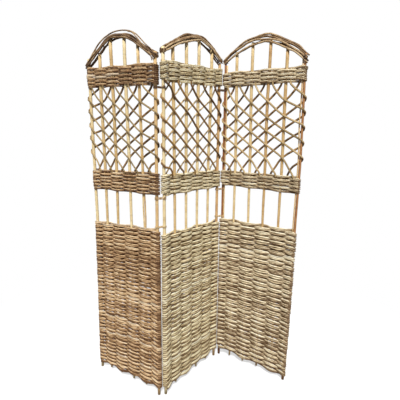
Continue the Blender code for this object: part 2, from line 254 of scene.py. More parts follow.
# The rods of a band: how many stakes one passes, how many the last one passes at least, how
# often an end that would show on the front is carried on to the next stake, a rod's thickness
# as a share of the row's height, and how slim its thin end is against its butt.
ROD_REACH = (5, 11)
SHORTEST_ROD = 4
HIDDEN_ENDS = 0.85
ROD_THICKNESSES = (0.98, 1.04)
THIN_END = 0.93

# How far a strand sways up and down along its row, as a share of the row's height, the lengths
# of such a sway, and the width of a bay.
SWAY = 0.03
SWAY_LENGTHS = (0.05, 0.11)
BAY_WIDTH = 0.084

# How dark the ties are.
TIE_TONES = {"upper": 0.85, "middle": 0.30, "lower": 0.15}

# How far a tie's lower and upper end move, in millimetres, to clear the woven rows beside it.
TIE_MOVES_MM = {
    "left": {"upper": (-2.5, -5.5), "middle": (0.0, 0.0), "lower": (12.6, 8.6)},
    "right": {"upper": (0.0, 0.0), "middle": (-6.0, -8.0), "lower": (7.8, 5.8)},
}

# How much darker the rods are where they turn round the first and the last post, partly the
# darker bark there and partly painted shade, and how much darker still halfway through the
# wrap: painted shade, as that part lies in the shade of the rows.
TURN_SHADES = {"left": (0.02, 0.18), "middle": (-0.04, 0.04), "right": (0.10, 0.18)}
INNER_TURN = 0.45

# A lattice rod is flattened where it lies on the stakes: its height against its depth.
LATTICE_OVAL = 1.35

# The slim and the thick lattice rods lie on different faces: the finish of each kind, and the
# face of each panel's thick ones, 1 for the back and -1 for the front.
LATTICE_KINDS = (("slim", "light_rod"), ("thick", "dark_rod"))
THICK_FACES = {"left": 1, "middle": -1, "right": 1}

# How dark the slim and the thick lattice rods of each panel are, how much that strays, and how
# stout the slim ones are.
LATTICE_TONES = {"left": (0.54, 0.32), "middle": (0.36, 0.24), "right": (0.42, 0.28)}
LATTICE_TONE_STRAY = 0.2
LATTICE_STOUTNESS = {"left": 1.0, "middle": 0.97, "right": 1.18}

# How far the crossings of the lattice stray up or down, in millimetres.
CROSSING_STRAY_MM = 3.5

# The ends of a lattice rod, from the top down. Each point: its share of the bay, how close it
# lies to the rod's face, its share of the way from the nearest crossing to the band's edge, and
# how far it lies over that in millimetres. One rod comes round the first post, just under the
# band: its panel, bay and face, and its head.
LATTICE_HEAD = ((0.26, 0.5, 1.0, 12.0), (0.30, 0.7, 1.0, -4.0), (0.55, 0.85, 0.52, 0.0))
LATTICE_TAIL = ((0.44, 0.9, 0.60, 0.0), (0.66, 0.8, 1.0, 6.0), (0.70, 0.5, 1.0, -12.0))
WRAPPED_ROD = ("middle", 0, -1)
WRAPPED_HEAD = ((-0.10, 1.0, 1.0, 4.0), (0.06, 1.0, 1.0, -4.0), (0.55, 0.95, 0.66, 0.0))

# Heights of the lattice's rows: where its rods begin their turn round the first post, where
# they cross the first and the fourth stake, and where they begin their turn round the last post.
LATTICE_ROWS = {
    "left": ((1.528, 1.467, 1.398, 1.334, 1.268), (1.490, 1.431, 1.361, 1.297, 1.232),
             (1.487, 1.415, 1.350, 1.290, 1.228), (1.498, 1.437, 1.374, 1.312, 1.247)),
    "middle": ((1.510, 1.429, 1.363, 1.294, 1.222), (1.495, 1.435, 1.347, 1.277, 1.208),
               (1.502, 1.430, 1.353, 1.280, 1.210), (1.515, 1.445, 1.367, 1.292, 1.222)),
    "right": ((1.513, 1.432, 1.365, 1.296, 1.226), (1.497, 1.422, 1.351, 1.285, 1.215),
              (1.509, 1.434, 1.369, 1.300, 1.228), (1.530, 1.460, 1.390, 1.318, 1.246)),
}

# Heights of the first and the last post's foot and top: one rod was cut a little short.
POST_FEET = {"left": (0.0, 0.0), "middle": (0.0, 0.0), "right": (0.009, 0.0)}
POST_TOPS = {"left": (1.692, 1.688), "middle": (1.709, 1.700), "right": (1.722, 1.712)}

# The arches: heights of the bundle's upper and lower outline at tenths of the panel's width.
ARCH_UPPER = {
    "left": (1.676, 1.711, 1.745, 1.772, 1.785, 1.784, 1.778, 1.762, 1.733, 1.707, 1.685),
    "middle": (1.706, 1.732, 1.758, 1.779, 1.792, 1.799, 1.803, 1.796, 1.784, 1.765, 1.735),
    "right": (1.724, 1.760, 1.785, 1.806, 1.817, 1.820, 1.814, 1.798, 1.776, 1.751, 1.715),
}
ARCH_LOWER = {
    "left": (1.650, 1.676, 1.705, 1.735, 1.760, 1.763, 1.760, 1.743, 1.716, 1.690, 1.665),
    "middle": (1.687, 1.708, 1.726, 1.743, 1.758, 1.769, 1.773, 1.761, 1.742, 1.718, 1.695),
    "right": (1.700, 1.723, 1.740, 1.762, 1.774, 1.777, 1.771, 1.758, 1.736, 1.712, 1.676),
}

# The rods of each arch: the CAD rod that they stand for, their place in the bundle at the
# first post, the top and the last post, as shares from its lower to its upper outline, their
# distance from the panel's middle and their radius, in millimetres, and how dark their bark is.
ARCH_RODS = {
    "left": (
        ("top_rod", (0.95, 0.90, 0.90), 2.0, 4.4, 0.62),
        ("top_rod", (0.55, 0.62, 0.50), -3.0, 4.2, 0.90),
        ("front_rod", (0.20, 0.55, 0.75), -11.5, 4.3, 0.70),
        ("front_rod", (0.75, 0.18, 0.15), -11.5, 4.0, 0.55),
        ("back_rod", (0.45, 0.30, 0.35), 11.5, 4.3, 0.62),
        ("back_rod", (0.10, 0.72, 0.60), 11.5, 3.9, 0.48),
    ),
    "middle": (
        ("top_rod", (0.90, 0.92, 0.88), 1.0, 4.4, 0.50),
        ("top_rod", (0.50, 0.66, 0.62), -3.0, 4.4, 0.42),
        ("front_rod", (0.70, 0.46, 0.25), -11.5, 4.3, 0.30),
        ("front_rod", (0.15, 0.12, 0.50), -11.5, 4.0, 0.16),
        ("back_rod", (0.10, 0.10, 0.42), 11.5, 4.0, 0.42),
        ("back_rod", (0.35, 0.28, 0.10), 11.5, 4.2, 0.50),
        ("back_rod", (0.60, 0.80, 0.75), 11.5, 4.2, 0.42),
    ),
    "right": (
        ("top_rod", (0.92, 0.95, 0.95), 1.0, 4.4, 0.45),
        ("top_rod", (0.62, 0.68, 0.70), -3.0, 4.3, 0.66),
        ("front_rod", (0.75, 0.44, 0.42), -11.5, 4.2, 0.32),
        ("front_rod", (0.10, 0.10, 0.02), -11.5, 4.0, 0.25),
        ("back_rod", (0.40, 0.25, 0.28), 11.5, 4.2, 0.60),
        ("back_rod", (0.85, 0.86, 0.85), 11.5, 3.8, 0.70),
    ),
}

# The arch rods are pressed flat by the next one: their height against their depth.
ARCH_OVAL = 1.22

# The height at which the arches meet the posts, and how far their rods run past a post, and by
# how much less or more, in millimetres. They stop short of the neighbouring panel's post.
ARCH_FOOT = 1.69
ARCH_OVERRUN_MM = 9.0
ARCH_OVERRUN_STRAYS_MM = (-2.0, 1.0)

# Points along an arch rod, steps between two of them, how far it waves up and down, as a share
# of the bundle, how often, and how far its points stray, in millimetres.
ARCH_POINTS = 30
ARCH_STEPS = 2
ARCH_WAVE = 0.06
ARCH_WAVES = 3
ARCH_STRAY_MM = 1.0

# Near a post the arch rods come in to lie on it: over what share of the width, how close, and
# how much they are pressed there.
ARCH_END = 0.10
ARCH_END_CLOSENESS = 0.84
ARCH_END_PRESS = 0.28

# A rod this far from the panel's middle, in millimetres, lies on the front or the back, and the
# others lie on top. How much its outer face counts as lit in its painted shade.
ARCH_FACE_MM = 5
ARCH_FACE = 0.6

# Rods that leave the bundle of an arch: the CAD rod that they stand for, radius and distance
# from the panel's middle in millimetres, how dark they are, and their points, each as a share
# of the width and a height. Then how slim their far ends are.
STRAY_RODS = {"left": (
    ("top_rod", 3.7, 0.5, 0.42, ((0.02, 1.655), (0.035, 1.690), (0.075, 1.714), (0.111, 1.728),
                                 (0.179, 1.754), (0.268, 1.776), (0.378, 1.792), (0.471, 1.797),
                                 (0.573, 1.795), (0.671, 1.786), (0.735, 1.773), (0.787, 1.756),
                                 (0.869, 1.724), (0.950, 1.698), (0.985, 1.680))),
    ("front_rod", 2.8, -12.0, 0.35, ((0.66, 1.783), (0.72, 1.775), (0.80, 1.744), (0.87, 1.715),
                                     (0.95, 1.684), (0.98, 1.650))),
    ("front_rod", 2.6, -12.5, 0.90, ((0.05, 1.660), (0.16, 1.711), (0.235, 1.708),
                                     (0.285, 1.727), (0.314, 1.756))),
    ("back_rod", 3.2, 11.0, 0.30, ((0.62, 1.757), (0.73, 1.735), (0.80, 1.712), (0.867, 1.690),
                                   (0.938, 1.667), (0.978, 1.642))),
)}
STRAY_TAPER = 0.7

# Steps between two points of a lattice rod or of a rod that leaves an arch.
ROD_STEPS = 4

# Points of a tie's skein in each loop, steps between two of them, and how slim its far end is.
TIE_POINTS = 9
TIE_STEPS = 2
SKEIN_TAPER = 0.9

# How far the floor reaches, its roughness, over what distances from the screen's middle it
# blends into the white backdrop, and how white it is at the screen.
FLOOR_REACH = 12.0
FLOOR_ROUGHNESS = 0.9
FLOOR_FADE = (0.45, 1.7)
FLOOR_WHITE = 0.45

# The colour of the backdrop: at a strength of 1 it is plain white.
WHITE = (1.0, 1.0, 1.0, 1.0)

# How wide the lamp looks from the screen, in degrees: its shadows have soft edges. Where its
# symbol stands makes no difference to its light.
LAMP_WIDTH = 9.0
LAMP_DISTANCE = 4

# The camera stands where the photograph's lines meet. Angles in degrees, lens in millimetres.
CAMERA_PLACE = (-0.26562, -1.75583, 1.35688)
CAMERA_YAW, CAMERA_PITCH, CAMERA_ROLL = 80.219, 11.234, 0.693
CAMERA_LENS, CAMERA_SENSOR = 31.616, 36.0


def linear(code):
    """Turn an sRGB hex value into a linear colour with alpha."""
    values = [int(code[at:at + 2], 16) / 255 for at in (1, 3, 5)]
    return (*[v / 12.92 if v <= 0.04045 else ((v + 0.055) / 1.055) ** 2.4 for v in values], 1.0)


# Each finish by its slot: its own name, five colours from the palest rods to the darkest (in the
# weaves the first is a rod gone grey), roughness, how much the colour strays along a rod, and
# how rough its skin is, in millimetres.
FINISHES = {
    # Willow stripped of its bark and dried: pale straw with a soft sheen, warm in places.
    "peeled_willow": ("dried_peeled_willow",
                      ("#f0deb0", "#e4ca96", "#d3b27c", "#bf9864", "#a07a4c"), 0.48, 0.30, 0.12),
    # Buff willow, boiled before it was peeled: the tannin leaves it tan.
    "tan_willow": ("boiled_buff_willow",
                   ("#e6c893", "#d8b27c", "#c69a66", "#ac8150", "#8f653b"), 0.50, 0.30, 0.14),
    # Willow with its bark on, dried red-brown: smooth and a little glossy.
    "red_bark": ("red_brown_willow_bark",
                 ("#ba8b5c", "#a26f43", "#885532", "#6c4027", "#4e2e1b"), 0.40, 0.30, 0.10),
    # Weavers with weathered bark: brown and matt, some gone grey.
    "brown_weave": ("weathered_brown_willow",
                    ("#bda98f", "#f0d8b2", "#dabb90", "#b58f65", "#5f4129"), 0.62, 0.42, 0.20),
    # Weavers half peeled by wear: cream to tan, some grey.
    "cream_weave": ("weathered_cream_willow",
                    ("#cdc2a8", "#fbf2d2", "#e8dab4", "#c8b388", "#70573a"), 0.62, 0.40, 0.20),
    # Weavers that stood in the rain: tan with a grey cast.
    "grey_weave": ("weathered_grey_willow",
                   ("#cdc3ac", "#f9efd2", "#e4d5b2", "#c3ac87", "#6c533a"), 0.64, 0.42, 0.22),
    # Lattice rods with dark bark.
    "dark_rod": ("dark_willow_bark",
                 ("#a5804f", "#7f5e38", "#624729", "#4c351e", "#372514"), 0.50, 0.45, 0.14),
    # Slim lattice rods, peeled by hand: tan to olive where the bark stays.
    "light_rod": ("hand_peeled_slim_willow",
                  ("#d8c093", "#bfa476", "#a48a5e", "#867049", "#6a573a"), 0.52, 0.45, 0.14),
    # Arch rods: the thickest bark, brown with pale scuffs.
    "arch_bark": ("thick_scuffed_willow_bark",
                  ("#d2b890", "#ac8e68", "#856849", "#634930", "#443020"), 0.56, 0.60, 0.20),
    # Split skein: the flat, shiny outside of a rod.
    "tie_skein": ("split_willow_skein",
                  ("#d9c092", "#bf9f70", "#9c7a50", "#74563a", "#4c3626"), 0.45, 0.25, 0.08),
}

# Real sizes of the willow's markings. The grain is finer on the real rods, and is drawn this
# coarse so that it shows.
GRAIN_WIDTH_MM = 2.2
GRAIN_LENGTH_MM = 45.0
KNOT_SPACING_MM = 70.0
WEATHER_PATCH_MM = 38.0

# Each rod's markings begin at a place of its own in the pattern, within these lengths.
MARKING_PLACES = (9.0, 9.0, 90.0)

# How fine and how rough the grain's noise is, and how fine the patches' noise.
GRAIN_DETAIL = 3.0
GRAIN_ROUGHNESS = 0.6
PATCH_DETAIL = 2.0

# A knot: where its mark begins and ends to fade, as shares of the spacing, its colour, how
# strongly that shows, and how high it stands against the grain.
KNOT_FADE = (0.02, 0.07)
KNOT_COLOUR = "#4a3020"
KNOT_STRENGTH = 0.16
KNOT_RISE = 0.8

# Which of the five colours most rods have, and where the palest and the darkest stand on the
# scale of tones.
MIDDLE_COLOUR = 2
COLOUR_RANGE = (0.06, 0.94)

# How much smoother and rougher than its finish a rod is in places, how strongly its relief
# shows, and how strongly it mirrors: dry wood and bark have a dull sheen.
ROUGHNESS_STRAYS = (-0.08, 0.12)
RELIEF_STRENGTH = 0.6
WILLOW_SHEEN = 0.25


def finish_colour(finish):
    """Return the property that holds the colour of most rods of a finish."""
    name, colours = FINISHES[finish][:2]
    words = name.replace("_", " ").capitalize()
    return FloatVectorProperty(name=words, description=f"{words}: the colour of most rods",
                               subtype="COLOR", default=linear(colours[MIDDLE_COLOUR])[:3],
                               min=0.0, max=1.0)


class WillowColours(bpy.types.PropertyGroup):
    """The colour of most rods of each finish. Paler and darker rods keep their own."""

    __annotations__ = {finish: finish_colour(finish) for finish in FINISHES}


class WillowSizes(bpy.types.PropertyGroup):
    """Sizes of the rods, which a maker would choose by the bundle."""

    left_row: FloatProperty(name="Left row", description="Height of a row in the left foot",
                            default=0.0105, min=0.006, max=0.02, unit="LENGTH")
    middle_row: FloatProperty(name="Middle row", description="Height of a row in the middle foot",
                              default=0.0120, min=0.006, max=0.02, unit="LENGTH")
    right_row: FloatProperty(name="Right row", description="Height of a row in the right foot",
                             default=0.0130, min=0.006, max=0.02, unit="LENGTH")
    band_row: FloatProperty(name="Band row", description="Height of a row in the narrow bands",
                            default=0.0088, min=0.006, max=0.02, unit="LENGTH")
    lattice_slim: FloatProperty(name="Slim lattice rod", description="Radius of the slim rods",
                                default=0.0033, min=0.002, max=0.0045, unit="LENGTH")
    lattice_thick: FloatProperty(name="Thick lattice rod", description="Radius of the thick rods",
                                 default=0.0042, min=0.002, max=0.0045, unit="LENGTH")
    skein: FloatProperty(name="Skein", description="Radius of the ties' skein",
                         default=0.0015, min=0.0008, max=0.002, unit="LENGTH")
    tie_turns: IntProperty(name="Tie turns", description="How often a tie goes round each post",
                           default=3, min=2, max=5)


class WillowStage(bpy.types.PropertyGroup):
    """Colours of the floor and the light."""

    floor: FloatVectorProperty(name="Floor", description="Colour of the floor that is seen",
                               subtype="COLOR", default=(0.95, 0.95, 0.95), min=0.0, max=1.0)
    paving: FloatVectorProperty(name="Paving", description="Colour of the light it throws back",
                                subtype="COLOR", default=(0.22, 0.22, 0.22), min=0.0, max=1.0)
    lamp: FloatProperty(name="Lamp", description="Strength of the distant lamp", default=3.9,
                        min=0.0)
    lamp_bearing: FloatProperty(name="Lamp bearing", description="How far left the lamp stands",
                                default=math.radians(10), subtype="ANGLE")
    lamp_height: FloatProperty(name="Lamp height", description="How high the lamp stands",
                               default=math.radians(50), subtype="ANGLE")
    sky: FloatProperty(name="Sky", description="Strength of the even light all round",
                       default=0.19, min=0.0)
    rear_sky: FloatProperty(name="Rear sky", description="How much stronger it is at the back",
                            default=1.0, min=0.0)


def empty_tree(owner):
    """Give a material or a world a node tree with nothing in it."""
    owner.use_nodes = True
    owner.node_tree.nodes.clear()
    return owner.node_tree


def add_node(tree, kind, inputs=None, **settings):
    """Add a node with its settings, and set or link its inputs."""
    node = tree.nodes.new(kind)
    for name, value in settings.items():
        setattr(node, name, value)
    for key, value in (inputs or {}).items():
        if isinstance(value, bpy.types.NodeSocket):
            tree.links.new(value, node.inputs[key])
        else:
            node.inputs[key].default_value = value
    return node


def willow_material(finish):
    """Return the material of a finish, made on its first use."""
    name, colours, roughness, unevenness, skin = FINISHES[finish]
    if name in bpy.data.materials:
        return bpy.data.materials[name]
    material = bpy.data.materials.new(name)
    tree = empty_tree(material)
    straight = add_node(tree, "ShaderNodeAttribute",
                        attribute_name="straight_rod").outputs["Vector"]
    tone = add_node(tree, "ShaderNodeAttribute", attribute_name="rod_tone").outputs["Fac"]
    grain_scale = [1 / (length * MM) for length in (GRAIN_WIDTH_MM, GRAIN_WIDTH_MM,
                                                    GRAIN_LENGTH_MM)]
    grain_place = add_node(tree, "ShaderNodeVectorMath", {0: straight, 1: grain_scale},
                           operation="MULTIPLY").outputs["Vector"]
    grain = add_node(tree, "ShaderNodeTexNoise",
                     {"Vector": grain_place, "Scale": 1.0, "Detail": GRAIN_DETAIL,
                      "Roughness": GRAIN_ROUGHNESS}).outputs["Fac"]
    along = add_node(tree, "ShaderNodeSeparateXYZ", {0: straight}).outputs["Z"]
    knot_place = add_node(tree, "ShaderNodeMath", {0: along, 1: 1 / (KNOT_SPACING_MM * MM)},
                          operation="MULTIPLY").outputs[0]
    knots = add_node(tree, "ShaderNodeTexVoronoi", {"W": knot_place, "Scale": 1.0},
                     voronoi_dimensions="1D").outputs["Distance"]
    knot = add_node(tree, "ShaderNodeMapRange",
                    {"Value": knots, "From Min": KNOT_FADE[0], "From Max": KNOT_FADE[1],
                     "To Min": 1.0, "To Max": 0.0}).outputs[0]
    patch = add_node(tree, "ShaderNodeTexNoise",
                     {"Vector": straight, "Scale": 1 / (WEATHER_PATCH_MM * MM),
                      "Detail": PATCH_DETAIL}).outputs["Fac"]
    # Both noises lie round a half, so their sum less 1 strays round 0.
    drift = add_node(tree, "ShaderNodeMath", {0: patch, 1: grain}, operation="ADD").outputs[0]
    drift = add_node(tree, "ShaderNodeMath", {0: drift, 1: -1.0}, operation="ADD").outputs[0]
    shade = add_node(tree, "ShaderNodeMath", {0: drift, 1: unevenness * 2.0, 2: tone},
                     operation="MULTIPLY_ADD").outputs[0]
    ramp = add_node(tree, "ShaderNodeValToRGB", {"Fac": shade})
    stops = ramp.color_ramp.elements
    while len(stops) < len(colours):
        stops.new(0.5)
    for index, code in enumerate(colours):
        stops[index].position = blend(*COLOUR_RANGE, index / (len(colours) - 1))
        stops[index].color = linear(code)
    stops[MIDDLE_COLOUR].color = (*getattr(bpy.context.scene.willow_colours, finish), 1.0)
    knot_dark = add_node(tree, "ShaderNodeMath", {0: knot, 1: KNOT_STRENGTH},
                         operation="MULTIPLY").outputs[0]
    colour = add_node(tree, "ShaderNodeMix", {"Factor": knot_dark, "A": ramp.outputs["Color"],
                                              "B": linear(KNOT_COLOUR)},
                      data_type="RGBA", blend_type="MULTIPLY").outputs["Result"]
    rough = add_node(tree, "ShaderNodeMapRange",
                     {"Value": grain, "To Min": roughness + ROUGHNESS_STRAYS[0],
                      "To Max": roughness + ROUGHNESS_STRAYS[1]}).outputs[0]
    relief = add_node(tree, "ShaderNodeMath", {0: knot, 1: KNOT_RISE, 2: grain},
                      operation="MULTIPLY_ADD").outputs[0]
    bump = add_node(tree, "ShaderNodeBump", {"Height": relief, "Strength": RELIEF_STRENGTH,
                                             "Distance": skin * MM}).outputs["Normal"]
    shader = add_node(tree, "ShaderNodeBsdfPrincipled",
                      {"Base Color": colour, "Roughness": rough, "Normal": bump,
                       "Specular IOR Level": WILLOW_SHEEN, "Metallic": 0.0}).outputs["BSDF"]
    add_node(tree, "ShaderNodeOutputMaterial", {"Surface": shader})
    material.diffuse_color = linear(colours[1])
    return material


def limited(value, low=0.0, high=1.0):
    """Keep a value between two others."""
    return min(max(value, low), high)


def blend(first, last, share):
    """Go evenly from the first value to the last."""
    return first + (last - first) * share


def ease(share):
    """Go from 0 to 1 with a level start and end."""
    return (1 - math.cos(math.pi * share)) / 2


def hump(up, middle, reach):
    """Rise from 0 to 1 at a middle height and fall again."""
    return math.exp(-((up - middle) / reach) ** 2)


def stray(rng, reach):
    """Return a random value, at most this far from 0 on either side."""
    return rng.uniform(-reach, reach)


def curve(before, first, last, after, share):
    """Go smoothly from the first value to the last, in line with the values beside them."""
    return 0.5 * (2 * first + (last - before) * share
                  + (2 * before - 5 * first + 4 * last - after) * share ** 2
                  + (3 * first - before - 3 * last + after) * share ** 3)


def even_steps(values, heights, up):
    """Read a table of values at rising heights."""
    if up <= heights[0]:
        return values[0]
    for index in range(1, len(heights)):
        if up <= heights[index]:
            share = (up - heights[index - 1]) / (heights[index] - heights[index - 1])
            return blend(values[index - 1], values[index], share)
    return values[-1]


def curve_height(tenths, share):
    """Read a smooth curve that is given at tenths, and runs on straight past its ends."""
    index = limited(math.floor(share * 10), 0, 9)
    part = share * 10 - index
    first, last = tenths[index], tenths[index + 1]
    if part < 0 or part > 1:
        return blend(first, last, part)
    before = tenths[index - 1] if index else 2 * first - last
    after = tenths[index + 2] if index < 9 else 2 * last - first
    return curve(before, first, last, after, part)


class Panel:
    """One panel of the frame: where its stakes stand and how they lean."""

    def __init__(self, name):
        self.name = name
        self.body = f"{name}_panel"
        nodes = [f"{name}_post_first"] + [f"{name}_stake_{n}" for n in range(1, LAST)]
        self.nodes = nodes + [f"{name}_post_last"]
        feet = []
        for node in self.nodes:
            low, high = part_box(node)
            feet.append(Vector(((low.x + high.x) / 2, (low.y + high.y) / 2, 0.0)))
        self.origin = feet[0]
        self.width = (feet[-1] - feet[0]).length
        self.along = (feet[-1] - feet[0]).normalized()
        self.back = Vector((-self.along.y, self.along.x, 0.0))
        self.stakes = [(foot - feet[0]).dot(self.along) for foot in feet]

    def place(self, along, across, up):
        """Turn a place on the panel into a place in the room."""
        return self.origin + self.along * along + self.back * across + UP * up

    def stake(self, index, up):
        """Return how far along a stake stands at a height."""
        lean = even_steps(LEANS_MM[self.name][index], LEAN_HEIGHTS, up) * MM
        return self.stakes[index] + lean

    def radius(self, index, up):
        """Return a stake's radius at a height."""
        table = POST_DIAMETERS_MM if index in (0, LAST) else STAKE_DIAMETERS_MM
        return even_steps(table, LEAN_HEIGHTS, up) * MM / 2

    def edges(self, band):
        """Return a band's lower and upper edge, each at the first post and the last."""
        low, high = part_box(f"{self.name}_{band}")
        edges = []
        for level, tilt in zip((low.z, high.z), EDGE_TILTS_MM[self.name][band]):
            edges.append((level - tilt * MM / 2, level + tilt * MM / 2))
        return edges

    def room(self, index, up):
        """Return the largest radius of a rod that passes a stake at a height."""
        depth = POST_REACH if index in (0, LAST) else PANEL_HALF_DEPTH
        return (depth - self.radius(index, up) - SEAT) / 2

    def folds(self, index):
        """Tell whether the neighbouring panel folds at this post."""
        return index == 0 and self.name != "left" or index == LAST and self.name != "right"

    def arch(self, share, level):
        """Return the arch's height at a share of the width, from its lower to upper outline."""
        lower = curve_height(ARCH_LOWER[self.name], share)
        upper = curve_height(ARCH_UPPER[self.name], share)
        return blend(lower, upper, level)


class RodBundle:
    """Rods gathered into one mesh, with what the willow materials read from them."""

    def __init__(self, seed):
        self.rng = random.Random(seed)
        self.verts, self.faces, self.smooth = [], [], []
        self.straight, self.tone = [], []

    def rod(self, points, radii, tone, sides=8, heights=None, upright=False, outward=None,
            painted_shade=0.0, in_rows=False):
        """Add a closed rod, round unless given half heights; faces out of the light get painted
        shade.
        """
        start = len(self.verts)
        markings = Vector([self.rng.uniform(0.0, length) for length in MARKING_PLACES])
        tones = tone if isinstance(tone, list) else [tone] * len(points)
        run = 0.0
        for index, (side, top) in enumerate(rod_frames(points, upright)):
            point, radius = points[index], radii[index]
            height = heights[index] if heights else radius
            if index:
                run += (point - points[index - 1]).length
            for step in range(sides):
                angle = math.tau * step / sides
                across, over = math.cos(angle), math.sin(angle)
                self.verts.append(point + side * (radius * across) + top * (height * over))
                self.straight.append(markings + Vector((radius * across, height * over, run)))
                own = tones[index]
                # Painted shade: faces that look away from the light are made darker.
                if painted_shade:
                    sun = painted_light_share(side * across + top * over, abs(across), outward[index], in_rows)
                    own = min(own + painted_shade * (1 - limited(sun)), DARKEST)
                self.tone.append(own)
        for ring in range(len(points) - 1):
            base = start + ring * sides
            for step in range(sides):
                following = (step + 1) % sides
                self.faces.append((base + step, base + sides + step,
                                   base + sides + following, base + following))
                self.smooth.append(True)
        self.faces.append(tuple(start + step for step in range(sides)))
        end = start + (len(points) - 1) * sides
        self.faces.append(tuple(end + step for step in reversed(range(sides))))
        self.smooth += [False, False]

    def finish(self, name, finish, body, nodes):
        """Turn the rods into one piece that rides on a body and stands for CAD nodes."""
        mesh = bpy.data.meshes.new(name)
        mesh.from_pydata([tuple(vert) for vert in self.verts], [], self.faces)
        mesh.polygons.foreach_set("use_smooth", self.smooth)
        layer = mesh.attributes.new("straight_rod", "FLOAT_VECTOR", "POINT")
        layer.data.foreach_set("vector", [value for place in self.straight for value in place])
        layer = mesh.attributes.new("rod_tone", "FLOAT", "POINT")
        layer.data.foreach_set("value", self.tone)
        mesh.materials.append(willow_material(finish))
        mesh.update()
        piece = bpy.data.objects.new(name, mesh)
        bpy.context.scene.collection.objects.link(piece)
        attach(piece, body)
        if nodes:
            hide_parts(*nodes)


def painted_light_share(facing, sideways, outward, in_rows):
    """Return how lit a rod's face is painted, by where it looks; the rest is painted shade."""
    # Between two stakes the outward direction is short, and there both faces are painted lit.
    both = (1 - min(outward.length, 1.0)) * BOTH_FACES * sideways
    front = facing.dot(outward)
    if in_rows:
        face = min(ROW_FACE * max(front, 0.0) + both, 1.0)
        return face * limited((facing.z + UNDERSIDE) / UNDERSIDE_FADE)
    return facing.z * UPPER_FACES + front + both


def rod_frames(points, upright):
    """Return the two directions of a rod's section at each point."""
    end = len(points) - 1
    tangents = [(points[min(index + 1, end)] - points[max(index - 1, 0)]).normalized()
                for index in range(len(points))]
    if upright:
        sides = [tangent.cross(UP).normalized() for tangent in tangents]
        return [(side, side.cross(tangent)) for side, tangent in zip(sides, tangents)]
    helper = UP if abs(tangents[0].z) < STEEP else Vector((1.0, 0.0, 0.0))
    side = tangents[0].cross(helper).normalized()
    frames = []
    for index, tangent in enumerate(tangents):
        if index:
            side = tangents[index - 1].rotation_difference(tangent) @ side
        side = (side - tangent * side.dot(tangent)).normalized()
        frames.append((side, side.cross(tangent)))
    return frames


def smooth_line(points, steps):
    """Return a smooth line through the points, with that many steps between two of them."""
    line = []
    for index in range(len(points) - 1):
        before, after = points[max(index - 1, 0)], points[min(index + 2, len(points) - 1)]
        line += [curve(before, points[index], points[index + 1], after, step / steps)
                 for step in range(steps)]
    return line + [points[-1]]


def taper(count, first, last, rng):
    """Return radii from one end of a rod to the other, with the small swellings of its knots."""
    return [blend(first, last, index / max(count - 1, 1)) * (1 + stray(rng, SWELLING))
            for index in range(count)]


def frame_finish(node):
    """Return the finish that the frame's record gives a node."""
    for subpart in frame["record"]["subparts"]:
        if subpart["node"] == node:
            return subpart["material_slot"]
    raise ValueError(f"no finish for {node}")


def build_stake(panel, index):
    """Build one upright, from the floor or the foot's lower edge into the arch."""
    node = panel.nodes[index]
    rods = RodBundle(node)
    rng = rods.rng
    is_post = index in (0, LAST)
    if is_post:
        post = 0 if index == 0 else 1
        low, top = POST_FEET[panel.name][post], POST_TOPS[panel.name][post]
    else:
        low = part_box(node)[0].z + rng.uniform(*STAKE_FEET)
        top = panel.arch(panel.stakes[index] / panel.width, STAKE_TOP_LEVEL)
    heights = [blend(low, top, step / STAKE_STEPS) for step in range(STAKE_STEPS + 1)]
    tone = rng.uniform(*STAKE_TONES) + (0.0 if is_post else STAKE_SHADES[panel.name])
    if (panel.name, index) == SPLIT_STAKE:
        build_split_stake(panel, rods, index, heights, tone)
    elif panel.name == PAIRED_PANEL and is_post:
        build_paired_post(panel, rods, index, heights, tone)
    else:
        along, across = STAKE_STRAYS_MM
        points = [panel.place(panel.stake(index, up) + stray(rng, along) * MM,
                              stray(rng, across) * MM, up) for up in heights]
        radii = [panel.radius(index, up) * (1 + stray(rng, STAKE_SWELLING)) for up in heights]
        rods.rod(points, radii, tone, sides=12)
    rods.finish(f"{node}_rod", frame_finish(node), panel.body, [node])


def build_paired_post(panel, rods, index, heights, tone):
    """Build a slim red-brown post with a pale rod beside it, from the foot's top upwards."""
    rng = rods.rng
    node = panel.nodes[index]
    inward = 1 if index == 0 else -1
    points = [panel.place(panel.stake(index, up) - inward * PAIRED_SHIFT_MM * MM, 0.0, up)
              for up in heights]
    start, reach = PAIRED_NARROWING
    radii = [blend(*PAIRED_RADII, limited((up - start) / reach)) for up in heights]
    radii = [value * (1 + stray(rng, STAKE_SWELLING)) for value in radii]
    rods.rod(points, radii, tone, sides=12)
    mate = RodBundle(f"{node}mate")
    offset, more = MATES_MM[index]
    points = []
    for step in range(MATE_STEPS + 1):
        up = blend(*MATE_HEIGHTS, step / MATE_STEPS)
        off = inward * (offset + more * hump(up, *MATE_BOW)) * MM
        points.append(panel.place(panel.stake(index, up) + off, 0.0, up))
    mate.rod(points, taper(len(points), *MATE_RADII, rng), MATE_TONE, sides=10)
    mate.finish(f"{node}_mate", "tan_willow", panel.body, [node])


def build_split_stake(panel, rods, index, heights, tone):
    """Build the stake that is two slim rods, which part a little in the open window."""
    rng = rods.rng
    for way, share in SPLIT_RODS:
        points, radii = [], []
        for up in heights:
            full = panel.radius(index, up)
            offset = way * full * (SPLIT_OFFSET + SPLIT_PARTING * hump(up, *SPLIT_PLACE))
            points.append(panel.place(panel.stake(index, up) + offset,
                                      stray(rng, STAKE_STRAYS_MM[1]) * MM, up))
            radii.append(full * share * (1 + stray(rng, STAKE_SWELLING)))
        rods.rod(points, radii, tone + way * SPLIT_TONE, sides=10)


